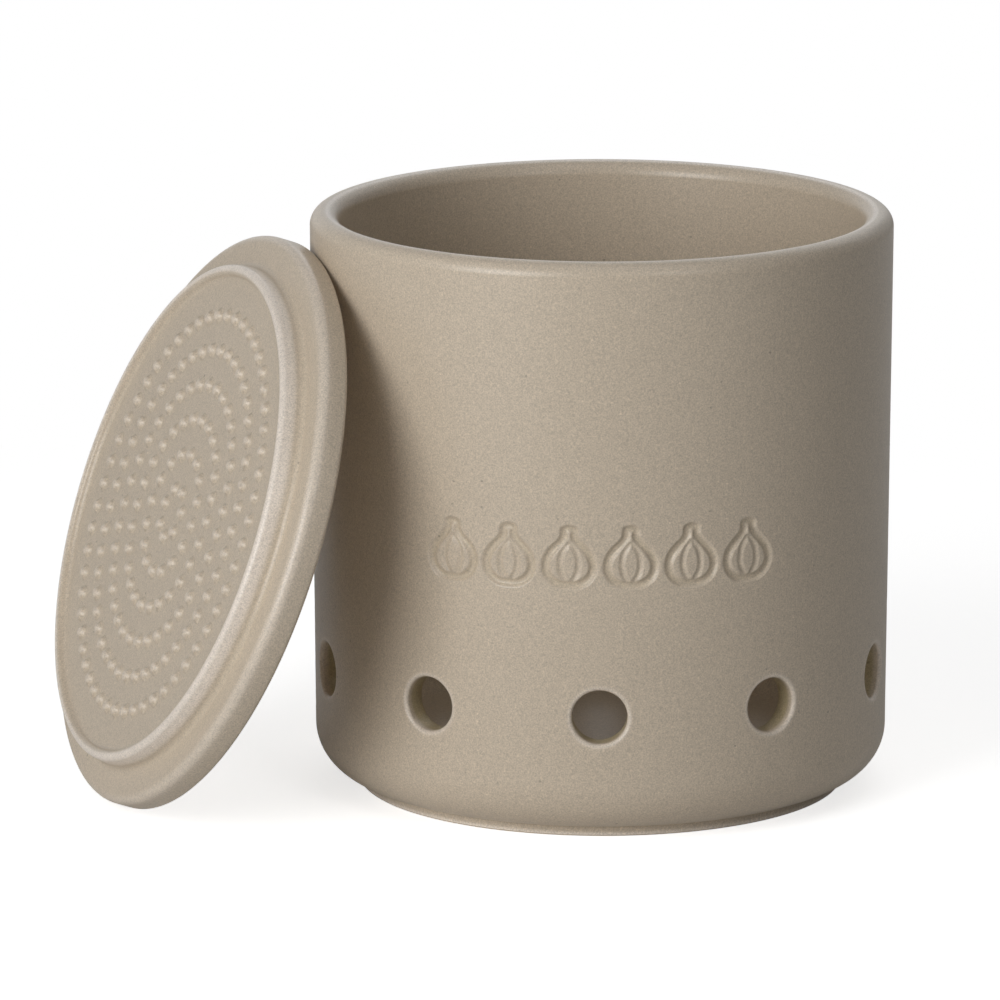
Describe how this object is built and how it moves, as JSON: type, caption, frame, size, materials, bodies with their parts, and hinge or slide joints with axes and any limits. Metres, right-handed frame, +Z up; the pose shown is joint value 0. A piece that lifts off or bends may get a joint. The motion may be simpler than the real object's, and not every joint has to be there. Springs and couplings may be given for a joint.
{
  "type": "garlic keeper",
  "caption": "Round stoneware garlic keeper: a straight pot with a ring of vents near its base, and a loose lid with a grater moulded into its underside.",
  "frame": {"origin": "centre of the pot's foot ring, on the plane that the foot ring stands on", "axes": "+Z up along the pot's axis; -Y towards the front, where one vent is centred; the lid leans on the -X side"},
  "size_m": [0.1743, 0.1345, 0.12],
  "materials": {
    "pot_glaze": "satin",
    "lid_glaze": "satin"
  },
  "bodies": {
    "pot": {"pot": "pot_glaze"},
    "lid": {"lid": "lid_glaze"}
  },
  "joints": [
    {"name": "lid_turn", "type": "hinge", "parent": "pot", "child": "lid", "pos_m": [-0.06259, -0.01705, 0.11979], "axis": [-0.2626, 0.9618, 0.0772], "range_deg": [0, 249.71]}
  ]
}
